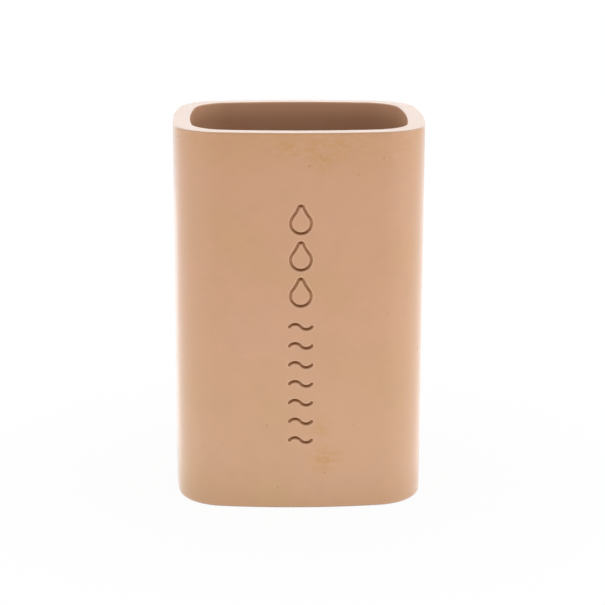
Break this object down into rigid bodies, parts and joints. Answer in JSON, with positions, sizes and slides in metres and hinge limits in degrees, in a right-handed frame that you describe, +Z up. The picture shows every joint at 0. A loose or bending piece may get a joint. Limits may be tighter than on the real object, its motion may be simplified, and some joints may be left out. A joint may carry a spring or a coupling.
{
  "type": "bathroom tumbler",
  "caption": "Thick-walled tumbler of rounded rectangular plan with softly bulged faces and an engraved column of drops and ripples, on small anti-slip feet.",
  "frame": {"origin": "on the table, under the middle of the tumbler", "axes": "+Z up through the middle of the opening; the engraved wide face looks along -Y; +X to the right as seen from the front"},
  "size_m": [0.073, 0.064, 0.11],
  "materials": {
    "cast_resin": "matte stone-filled resin, terracotta pink, slightly mottled, with pinholes",
    "foot_rubber": "matt translucent grey silicone",
    "adhesive_tape": "double-sided tape, off-white"
  },
  "bodies": {
    "root": {"tumbler_body": "cast_resin", "foot_front_left": "foot_rubber", "foot_front_right": "foot_rubber", "foot_back_left": "foot_rubber", "foot_back_right": "foot_rubber", "foot_adhesive_discs": "adhesive_tape"}
  },
  "joints": []
}
